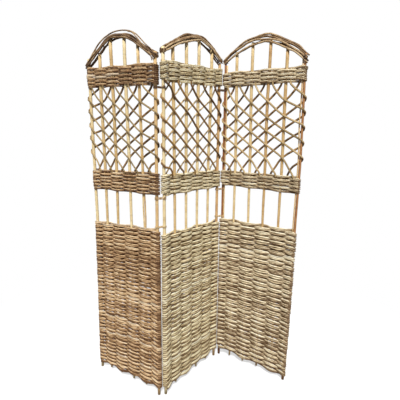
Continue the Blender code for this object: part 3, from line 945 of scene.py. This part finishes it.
def build_binding(panel, index):
    """Bind the feet of the arch rods to an outer post with a few turns of dark skein."""
    rods = RodBundle(f"{panel.name}{index}binding")
    rng = rods.rng
    middle = panel.arch(index / LAST, BINDING_LEVEL) + stray(rng, BINDING_STRAY_MM) * MM
    points = []
    steps = BINDING_TURNS * BINDING_STEPS
    for step in range(steps + 1):
        angle = math.tau * step / BINDING_STEPS
        up = middle + (step / steps - 0.5) * BINDING_HEIGHT + stray(rng, BINDING_TURN_STRAY_MM) * MM
        points.append(panel.place(panel.stake(index, up) + BINDING_HALF_WIDTH * math.cos(angle),
                                  BINDING_HALF_DEPTH * math.sin(angle), up))
    rods.rod(points, [BINDING_RADIUS] * len(points), rng.uniform(*BINDING_TONES), sides=6)
    rods.finish(f"{panel.nodes[index]}_binding", "tie_skein", panel.body, [])


def row_levels(panel, band, pitch, rng):
    """Return each row's height at the first and the last post."""
    low, high = panel.edges(band)
    count = round((sum(high) - sum(low)) / 2 / pitch)
    shared = [1 + stray(rng, ROW_STRAY) for _ in range(count)]
    tables = []
    for bottom, top in zip(low, high):
        own = [value * (1 + stray(rng, ROW_END_STRAY)) for value in shared]
        unit = (top - bottom) / sum(own)
        levels, at = [], bottom
        for value in own:
            levels.append(at + value * unit / 2)
            at += value * unit
        tables.append(levels)
    return list(zip(*tables))


def course_stations(panel, rows, pitch, rng):
    """Return the weaver's course, to and fro: at each stake its row, place, height and side."""
    stations = []
    for row, levels in enumerate(rows):
        order = range(LAST + 1) if row % 2 == 0 else range(LAST, -1, -1)
        for index in order:
            up = blend(*levels, panel.stakes[index] / panel.width)
            side = 1 if (index + row) % 2 else -1
            off = stray(rng, WEAVER_STRAY_MM)
            # Rods wrap an outer post one turn more, so that it is covered as high as the rows.
            if index == order[0] and row > 0:
                off += WRAP_SPREAD * pitch / MM
            if index == order[-1] and row < len(rows) - 1:
                off -= WRAP_SPREAD * pitch / MM
            stations.append((row, index, panel.stake(index, up), up + off * MM, side))
    return stations


def stake_spread(index, up):
    """Return how far the strands of a row spread beside a stake or a post."""
    if index in (0, LAST):
        return POST_SPREAD
    return even_steps(*zip(*STAKE_SPREADS), up)


def weaver_line(panel, stations, first, last, radius):
    """Return a rod's course between two stations: its points, radii, spread, turns and side."""
    points, radii, spreads, turns, outward = [], [], [], [], []

    def station(number):
        row, index, along, up, side = stations[number]
        # At a fold the wraps fill the room between the two posts.
        room = panel.room(index, up)
        fitted = room if panel.folds(index) else min(radius, room)
        return row, index, along, up, side, fitted, panel.radius(index, up) + SEAT + fitted

    for number in range(first, last):
        row, index, along, up, side, fitted, reach = station(number)
        next_row, next_index, next_along, next_up, next_side, next_fitted, next_reach = station(
            number + 1)
        if row == next_row:
            spread, next_spread = stake_spread(index, up), stake_spread(next_index, next_up)
            for step in range(BAY_STEPS):
                share = step / BAY_STEPS
                across = blend(side * reach, next_side * next_reach, ease(share))
                height = blend(up, next_up, EVEN_CLIMB * share + EASED_CLIMB * ease(share))
                points.append(panel.place(blend(along, next_along, share), across, height))
                radii.append(blend(fitted, next_fitted, share))
                near_stake = abs(math.cos(math.pi * share))
                spreads.append(blend(spread, next_spread, share) * near_stake)
                turns.append(0.0)
                outward.append(panel.back * (across / max(reach, next_reach)))
        else:
            beyond, turn_shade = -1, TURN_SHADES[panel.name][0]
            if index == LAST:
                beyond, turn_shade = 1, TURN_SHADES[panel.name][1]
            for step in range(WRAP_STEPS):
                share = step / WRAP_STEPS
                angle = WRAP_ANGLE * share
                turn = (panel.along * (beyond * math.sin(angle))
                        + panel.back * (side * math.cos(angle)))
                points.append(panel.place(along, 0.0, blend(up, next_up, share)) + turn * reach)
                radii.append(fitted)
                spreads.append(WRAP_PINCH)
                # The wrap is partly darker bark and partly painted shade; its inner pass gets more
                # painted shade.
                turns.append(turn_shade + INNER_TURN * math.sin(math.pi * share) ** 2)
                outward.append(turn)
    _, index, along, up, side, fitted, reach = station(last)
    points.append(panel.place(along, side * reach, up))
    radii.append(fitted)
    spreads.append(stake_spread(index, up))
    turns.append(0.0)
    outward.append(panel.back * side)
    return points, radii, spreads, turns, outward


def build_band(panel, band, pitch):
    """Build a woven band from rods laid end to end along the weaver's course."""
    node = f"{panel.name}_{band}"
    rods = RodBundle(node)
    rng = rods.rng
    single_share, pair_share, mean_tone, depth = WEAVES[panel.name][band]
    stations = course_stations(panel, row_levels(panel, band, pitch, rng), pitch, rng)
    last = len(stations) - 1
    at = 0
    while at < last:
        end = min(at + rng.randint(*ROD_REACH), last)
        # Rods end behind a stake, where the eye doesn't see the join.
        if stations[end][4] < 0 and rng.random() < HIDDEN_ENDS:
            end = min(end + 1, last)
        if last - end < SHORTEST_ROD:
            end = last
        draw = rng.random()
        strands = STRANDS[(draw >= single_share) + (draw >= single_share + pair_share)]
        is_grey = rng.random() < GREY_SHARE
        tone = GREY_TONE if is_grey else max(rng.gauss(mean_tone, TONE_STRAY), PALEST_WEAVER)
        # How much painted shade the lower strands get at this height.
        lower_shade = depth * even_steps(LOW_SHADE_SHARES, LOW_SHADE_HEIGHTS, stations[at][3])
        for crossing_shift, stake_shift, share, crossing_half, stake_half, shade in strands:
            thickness = pitch * rng.uniform(*ROD_THICKNESSES)
            points, radii, spreads, turns, outward = weaver_line(
                panel, stations, at, end, thickness * share)
            ends = (THIN_END, 1.0) if rng.random() < 0.5 else (1.0, THIN_END)
            shrink = [min(value, 1.0) for value in taper(len(points), *ends, rng)]
            wave, length = rng.uniform(0, math.tau), rng.uniform(*SWAY_LENGTHS)
            for index, spread in enumerate(spreads):
                sway = SWAY * math.sin(wave + math.tau * index / BAY_STEPS * BAY_WIDTH / length)
                points[index] += UP * pitch * (blend(crossing_shift, stake_shift, spread) + sway)
            radii = [value * factor for value, factor in zip(radii, shrink)]
            heights = [thickness * factor * blend(crossing_half, stake_half, spread)
                       for factor, spread in zip(shrink, spreads)]
            own_grey = is_grey and not shade
            # Painted shade: the lower strands of a row are made darker.
            own_tone = tone + shade * lower_shade
            if not own_grey:
                own_tone += stray(rng, STRAND_TONE_STRAY)
            tones = [limited(own_tone + turn, 0.0, DARKEST) for turn in turns]
            # The woven rods get painted shade on the faces that look away from the light.
            rods.rod(points, radii, tones, heights=heights, upright=True, outward=outward,
                     painted_shade=0.0 if own_grey else WEAVE_PAINTED_SHADE, in_rows=True)
        at = end
    rods.finish(f"{node}_rods", frame_finish(node), panel.body, [node])


def turn_points(panel, post, up, radius, side, first, last):
    """Return a rod's points round an outer post: 90 degrees is its own face, 0 is outermost."""
    outward = -1 if post == 0 else 1
    reach = panel.radius(post, up) + SEAT + min(radius, panel.room(post, up))
    along = panel.stake(post, up)
    count = max(2, round(abs(last - first) / TURN_STEP))
    points = []
    for step in range(count + 1):
        degrees = blend(first, last, step / count)
        angle = math.radians(degrees)
        points.append(panel.place(along + outward * reach * math.cos(angle),
                                  side * reach * math.sin(angle),
                                  up - TURN_DROP * (90 - degrees) / 180))
    return points


def lattice_level(panel, row, index):
    """Return the height of a lattice row at a stake or post."""
    first, low, high, last = (table[row] for table in LATTICE_ROWS[panel.name])
    if index == 0:
        return first
    return last if index == LAST else blend(low, high, (index - 1) / (LAST - 2))


def lattice_end(panel, shape, edge, level, stakes, side, radius):
    """Return the points of a rod's end between a band's edge and the crossing next to it."""
    points = []
    reach = side * (panel.radius(stakes[1], level) + SEAT + radius)
    for share, closeness, way, over in shape:
        lean_height = edge if way == 1.0 else level
        along = blend(*(panel.stake(stake, lean_height) for stake in stakes), share)
        points.append(panel.place(along, reach * closeness, blend(level, edge, way) + over * MM))
    return points


def lattice_rods(panel, bay, side, sizes, rng):
    """Return the rods that start in a bay on one face: their face and their points."""
    step = 1 if side < 0 else -1
    before, index = (bay, bay + 1) if step > 0 else (bay + 1, bay)
    radius = family_radius(panel, side, sizes)
    top = blend(*panel.edges("top_band")[0], panel.stakes[bay] / panel.width)
    head = WRAPPED_HEAD if (panel.name, bay, side) == WRAPPED_ROD else LATTICE_HEAD
    points = lattice_end(panel, head, top, lattice_level(panel, 0, index), (before, index),
                         side, radius)
    rods = []
    for row in range(len(LATTICE_ROWS[panel.name][0])):
        up = lattice_level(panel, row, index) + stray(rng, CROSSING_STRAY_MM) * MM
        if index in (0, LAST):
            # One rod ends at the outer side of the post, and the next begins there.
            points += turn_points(panel, index, up, radius, side, 90, -TURN_OVERLAP)
            rods.append((side, points))
            side, step = -side, -step
            radius = family_radius(panel, side, sizes)
            points = turn_points(panel, index, up, radius, -side, TURN_OVERLAP, -90)
        else:
            reach = side * (panel.radius(index, up) + SEAT + radius)
            points.append(panel.place(panel.stake(index, up), reach, up))
        index += step
    before = index - step
    bottom = blend(*panel.edges("mid_band")[1], panel.stakes[before] / panel.width)
    points += lattice_end(panel, LATTICE_TAIL, bottom, lattice_level(panel, -1, before),
                          (before, index), side, radius)
    rods.append((side, points))
    return rods


def family_radius(panel, side, sizes):
    """Return the radius of the front or the back lattice rods of a panel."""
    if side == THICK_FACES[panel.name]:
        return sizes.lattice_thick
    return sizes.lattice_slim * LATTICE_STOUTNESS[panel.name]


def build_lattice(panel, sizes):
    """Build the lattice, each rod a slim or a thick one by the face that it lies on."""
    for bay in range(LAST):
        node = f"{panel.name}_lattice_rod_{bay + 1}"
        bundles = [RodBundle(node + kind) for kind, _ in LATTICE_KINDS]
        for side in (-1, 1):
            rng = random.Random(f"{node}{side}")
            for own_side, points in lattice_rods(panel, bay, side, sizes, rng):
                kind = int(own_side == THICK_FACES[panel.name])
                bundle = bundles[kind]
                line = smooth_line(points, ROD_STEPS)
                radius = family_radius(panel, own_side, sizes)
                radii = taper(len(line), radius, radius * ROD_TAPER, bundle.rng)
                tone = LATTICE_TONES[panel.name][kind] + stray(bundle.rng, LATTICE_TONE_STRAY)
                # Painted shade on the faces that look away from the light; the tone starts paler to
                # balance it.
                bundle.rod(line, radii, tone - LATTICE_PAINTED_SHADE * PAINTED_SHADE_BALANCE,
                           heights=[value * LATTICE_OVAL for value in radii], upright=True,
                           outward=[Vector()] * len(line), painted_shade=LATTICE_PAINTED_SHADE)
        for (kind, finish), bundle in zip(LATTICE_KINDS, bundles):
            if bundle.verts:
                bundle.finish(f"{node}_{kind}", finish, panel.body, [node])


def build_arch(panel):
    """Build the arch: a loose bundle of rods over the stake tops."""
    bundles = {}
    for kind, places, depth_mm, radius_mm, dark in ARCH_RODS[panel.name]:
        bundle = bundles.setdefault(kind, RodBundle(f"{panel.name}{kind}"))
        rng = bundle.rng
        side = -1 if depth_mm < 0 else 1
        radius = min(radius_mm * MM, panel.room(0, ARCH_FOOT))
        seat = side * (panel.radius(0, ARCH_FOOT) + SEAT + radius) * ARCH_END_CLOSENESS
        past = [(ARCH_OVERRUN_MM + rng.uniform(*ARCH_OVERRUN_STRAYS_MM)) * MM / panel.width
                for _ in range(2)]
        wave = rng.uniform(0, math.tau)
        points, narrow = [], []
        for step in range(ARCH_POINTS + 1):
            share = blend(-past[0], 1 + past[1], step / ARCH_POINTS)
            inside = limited(share)
            half = int(inside >= 0.5)
            level = blend(places[half], places[half + 1], ease(inside * 2 - half))
            level += ARCH_WAVE * math.sin(ARCH_WAVES * math.tau * share + wave)
            near_post = max(0.0, 1 - min(inside, 1 - inside) / ARCH_END)
            points.append(panel.place(share * panel.width + stray(rng, ARCH_STRAY_MM) * MM,
                                      blend(depth_mm * MM, seat, near_post),
                                      panel.arch(share, level) + stray(rng, ARCH_STRAY_MM) * MM))
            narrow.append(1 - ARCH_END_PRESS * near_post)
        line = smooth_line(points, ARCH_STEPS)
        radii = [value * narrow[index // ARCH_STEPS] for index, value in
                 enumerate(taper(len(line), radius, radius * ROD_TAPER, rng))]
        # Painted shade on the faces that look away from the light; the tone starts paler to balance
        # it.
        outward = panel.back * (ARCH_FACE * side if abs(depth_mm) > ARCH_FACE_MM else 0.0)
        bundle.rod(line, radii, dark - ARCH_PAINTED_SHADE * PAINTED_SHADE_BALANCE,
                   heights=[value * ARCH_OVAL for value in radii], upright=True,
                   outward=[outward] * len(line), painted_shade=ARCH_PAINTED_SHADE)
    for kind, radius_mm, depth_mm, dark, shape in STRAY_RODS.get(panel.name, ()):
        bundle = bundles[kind]
        line = smooth_line([panel.place(share * panel.width, depth_mm * MM, up)
                            for share, up in shape], ROD_STEPS)
        radius = radius_mm * MM
        bundle.rod(line, taper(len(line), radius, radius * STRAY_TAPER, bundle.rng), dark)
    for index in (0, LAST):
        build_binding(panel, index)
    for kind, bundle in bundles.items():
        node = f"{panel.name}_arch_{kind}"
        bundle.finish(f"{node}s", "arch_bark", panel.body, [node])


def build_tie(name, first_panel, last_panel, kind, sizes):
    """Build one tie: skein wound in a figure of eight round both posts of a fold."""
    node = f"{name}_{kind}_tie"
    rods = RodBundle(node)
    first = first_panel.place(first_panel.width, 0.0, 0.0)
    last = last_panel.origin
    apart = (last - first).length
    along = (last - first).normalized()
    back = Vector((-along.y, along.x, 0.0))
    low, high = (corner.z + move * MM
                 for corner, move in zip(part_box(node), TIE_MOVES_MM[name][kind]))
    radius = sizes.skein
    loops = 2 * sizes.tie_turns
    climb = (high - low - 2 * radius) / loops
    reach = max(first_panel.radius(LAST, low), last_panel.radius(0, low)) + SEAT + radius
    open_angle = math.acos(min(2 * reach / apart, 1.0))
    points = []
    for loop in range(loops):
        centre, facing = (last, 1) if loop % 2 else (first, -1)
        for step in range(TIE_POINTS):
            share = step / TIE_POINTS
            # The loop's open side looks at the other post, so the skein crosses between them.
            angle = blend(open_angle, math.tau - open_angle, share)
            up = low + radius + climb * (loop + share)
            points.append(centre - along * (facing * reach * math.cos(angle))
                          + back * (reach * math.sin(angle)) + UP * up)
    line = smooth_line(points, TIE_STEPS)
    rods.rod(line, taper(len(line), radius, radius * SKEIN_TAPER, rods.rng), TIE_TONES[kind])
    rods.finish(f"{node}_skein", "tie_skein", f"{name}_ties", [node])


def build_floor(stage):
    """Build the pale floor."""
    mesh = bpy.data.meshes.new("floor")
    corners = ((-1, -1), (1, -1), (1, 1), (-1, 1))
    mesh.from_pydata([(x * FLOOR_REACH, y * FLOOR_REACH, 0) for x, y in corners], [],
                     [(0, 1, 2, 3)])
    # Matt white paint. The eye sees it blend into the white backdrop away from the screen, and
    # near the screen it keeps the shadow. The light it throws back is that of grey paving, on
    # which such a screen stands.
    material = bpy.data.materials.new("matt_white_floor_paint")
    tree = empty_tree(material)
    seen = add_node(tree, "ShaderNodeLightPath").outputs["Is Camera Ray"]
    colour = add_node(tree, "ShaderNodeMix", {"Factor": seen, "A": (*stage.paving, 1.0),
                                              "B": (*stage.floor, 1.0)},
                      data_type="RGBA").outputs["Result"]
    paint = add_node(tree, "ShaderNodeBsdfPrincipled",
                     {"Base Color": colour, "Roughness": FLOOR_ROUGHNESS}).outputs["BSDF"]
    white = add_node(tree, "ShaderNodeEmission",
                     {"Color": WHITE, "Strength": 1.0}).outputs["Emission"]
    place = add_node(tree, "ShaderNodeNewGeometry").outputs["Position"]
    away = add_node(tree, "ShaderNodeVectorMath", {0: place}, operation="LENGTH").outputs["Value"]
    fade = add_node(tree, "ShaderNodeMapRange",
                    {"Value": away, "From Min": FLOOR_FADE[0], "From Max": FLOOR_FADE[1],
                     "To Min": FLOOR_WHITE, "To Max": 1.0}).outputs[0]
    share = add_node(tree, "ShaderNodeMath", {0: fade, 1: seen}, operation="MULTIPLY").outputs[0]
    mixed = add_node(tree, "ShaderNodeMixShader", {0: share, 1: paint, 2: white}).outputs[0]
    add_node(tree, "ShaderNodeOutputMaterial", {"Surface": mixed})
    mesh.materials.append(material)
    floor = bpy.data.objects.new("floor", mesh)
    bpy.context.scene.collection.objects.link(floor)


def build_light(stage):
    """Light the screen softly from the front and above, under a sky that is brighter behind it."""
    world = bpy.data.worlds.new("even_sky")
    bpy.context.scene.world = world
    tree = empty_tree(world)
    path = add_node(tree, "ShaderNodeLightPath")
    seen = add_node(tree, "ShaderNodeMath", {0: path.outputs["Is Camera Ray"],
                                             1: path.outputs["Is Glossy Ray"]},
                    operation="MAXIMUM").outputs[0]
    # The sky behind the screen is brighter, so that its back doesn't stand in the dark.
    way = add_node(tree, "ShaderNodeTexCoord").outputs["Generated"]
    behind = add_node(tree, "ShaderNodeSeparateXYZ", {0: way}).outputs["Y"]
    behind = add_node(tree, "ShaderNodeMath", {0: behind, 1: 0.0}, operation="MAXIMUM").outputs[0]
    strength = add_node(tree, "ShaderNodeMath", {0: behind, 1: stage.rear_sky, 2: stage.sky},
                        operation="MULTIPLY_ADD").outputs[0]
    light, white = (add_node(tree, "ShaderNodeBackground",
                             {"Color": WHITE, "Strength": value}).outputs[0]
                    for value in (strength, 1.0))
    mixed = add_node(tree, "ShaderNodeMixShader", {0: seen, 1: light, 2: white}).outputs[0]
    add_node(tree, "ShaderNodeOutputWorld", {"Surface": mixed})
    # A distant lamp lights the top and the foot of the screen alike.
    lamp_data = bpy.data.lights.new("soft_lamp", "SUN")
    lamp_data.energy = stage.lamp
    lamp_data.angle = math.radians(LAMP_WIDTH)
    lamp = bpy.data.objects.new("soft_lamp", lamp_data)
    level = math.cos(stage.lamp_height)
    towards = Vector((-math.sin(stage.lamp_bearing) * level, -math.cos(stage.lamp_bearing) * level,
                      math.sin(stage.lamp_height)))
    lamp.location = towards * LAMP_DISTANCE
    lamp.rotation_euler = (-towards).to_track_quat("-Z", "Y").to_euler()
    bpy.context.scene.collection.objects.link(lamp)


def build_camera():
    """Set the camera where the photographer stood."""
    yaw, pitch, roll = (math.radians(v) for v in (CAMERA_YAW, CAMERA_PITCH, CAMERA_ROLL))
    forward = Vector((math.cos(yaw) * math.cos(pitch), math.sin(yaw) * math.cos(pitch),
                      -math.sin(pitch)))
    right = Vector((math.sin(yaw), -math.cos(yaw), 0.0))
    down = forward.cross(right)
    across = right * math.cos(roll) - down * math.sin(roll)
    below = right * math.sin(roll) + down * math.cos(roll)
    data = bpy.data.cameras.new("camera")
    data.sensor_fit = "HORIZONTAL"
    data.sensor_width = CAMERA_SENSOR
    data.lens = CAMERA_LENS
    camera = bpy.data.objects.new("camera", data)
    turned = Matrix((across, -below, -forward)).transposed()
    camera.matrix_world = Matrix.Translation(CAMERA_PLACE) @ turned.to_4x4()
    bpy.context.scene.collection.objects.link(camera)
    bpy.context.scene.camera = camera
    bpy.context.scene.view_settings.view_transform = "Standard"


class WILLOW_OT_stage(bpy.types.Operator):
    """Set up the floor, the light and the camera"""

    bl_idname = "willow.stage"
    bl_label = "Stage"

    def execute(self, context):
        build_floor(context.scene.willow_stage)
        build_light(context.scene.willow_stage)
        build_camera()
        return {"FINISHED"}


class WILLOW_OT_stakes(bpy.types.Operator):
    """Build the posts and stakes of the three panels"""

    bl_idname = "willow.stakes"
    bl_label = "Posts and stakes"

    def execute(self, context):
        for name in PANELS:
            panel = Panel(name)
            for index in range(LAST + 1):
                build_stake(panel, index)
        return {"FINISHED"}


class WILLOW_OT_feet(bpy.types.Operator):
    """Weave the tall foot of each panel"""

    bl_idname = "willow.feet"
    bl_label = "Woven feet"

    def execute(self, context):
        sizes = context.scene.willow_sizes
        for name, row in zip(PANELS, (sizes.left_row, sizes.middle_row, sizes.right_row)):
            build_band(Panel(name), "lower_weave", row)
        return {"FINISHED"}


class WILLOW_OT_bands(bpy.types.Operator):
    """Weave the two narrow bands of each panel"""

    bl_idname = "willow.bands"
    bl_label = "Woven bands"

    def execute(self, context):
        for name in PANELS:
            for band in ("mid_band", "top_band"):
                build_band(Panel(name), band, context.scene.willow_sizes.band_row)
        return {"FINISHED"}


class WILLOW_OT_lattice(bpy.types.Operator):
    """Lay the diagonal lattice between the bands"""

    bl_idname = "willow.lattice"
    bl_label = "Lattice"

    def execute(self, context):
        for name in PANELS:
            build_lattice(Panel(name), context.scene.willow_sizes)
        return {"FINISHED"}


class WILLOW_OT_arches(bpy.types.Operator):
    """Bend the arches over the stake tops"""

    bl_idname = "willow.arches"
    bl_label = "Arches"

    def execute(self, context):
        for name in PANELS:
            build_arch(Panel(name))
        return {"FINISHED"}


class WILLOW_OT_ties(bpy.types.Operator):
    """Wind the ties that join the panels"""

    bl_idname = "willow.ties"
    bl_label = "Ties"

    def execute(self, context):
        left, middle, right = (Panel(name) for name in PANELS)
        for kind in ("upper", "middle", "lower"):
            build_tie("left", left, middle, kind, context.scene.willow_sizes)
            build_tie("right", middle, right, kind, context.scene.willow_sizes)
        return {"FINISHED"}


OPERATORS = (WILLOW_OT_stage, WILLOW_OT_stakes, WILLOW_OT_feet, WILLOW_OT_bands,
             WILLOW_OT_lattice, WILLOW_OT_arches, WILLOW_OT_ties)


class WILLOW_PT_screen(bpy.types.Panel):
    """Lists what builds the screen"""

    bl_label = "Willow screen"
    bl_idname = "WILLOW_PT_screen"
    bl_space_type = "VIEW_3D"
    bl_region_type = "UI"
    bl_category = "Willow screen"

    def draw(self, context):
        for place, group in GROUPS.items():
            for name in group.__annotations__:
                self.layout.prop(getattr(context.scene, place), name)
        for operator in OPERATORS:
            self.layout.operator(operator.bl_idname)


GROUPS = {"willow_sizes": WillowSizes, "willow_colours": WillowColours,
          "willow_stage": WillowStage}
CLASSES = (*GROUPS.values(), *OPERATORS, WILLOW_PT_screen)


def register():
    """Add the groups, the operators and the panel to Blender."""
    for item in CLASSES:
        bpy.utils.register_class(item)
    for place, group in GROUPS.items():
        setattr(bpy.types.Scene, place, PointerProperty(type=group))


def unregister():
    """Take them out again."""
    for place in GROUPS:
        delattr(bpy.types.Scene, place)
    for item in reversed(CLASSES):
        bpy.utils.unregister_class(item)


def main():
    """Build the whole screen."""
    register()
    bpy.ops.willow.stage()
    bpy.ops.willow.stakes()
    bpy.ops.willow.feet()
    bpy.ops.willow.bands()
    bpy.ops.willow.lattice()
    bpy.ops.willow.arches()
    bpy.ops.willow.ties()


if __name__ == "__main__":
    main()
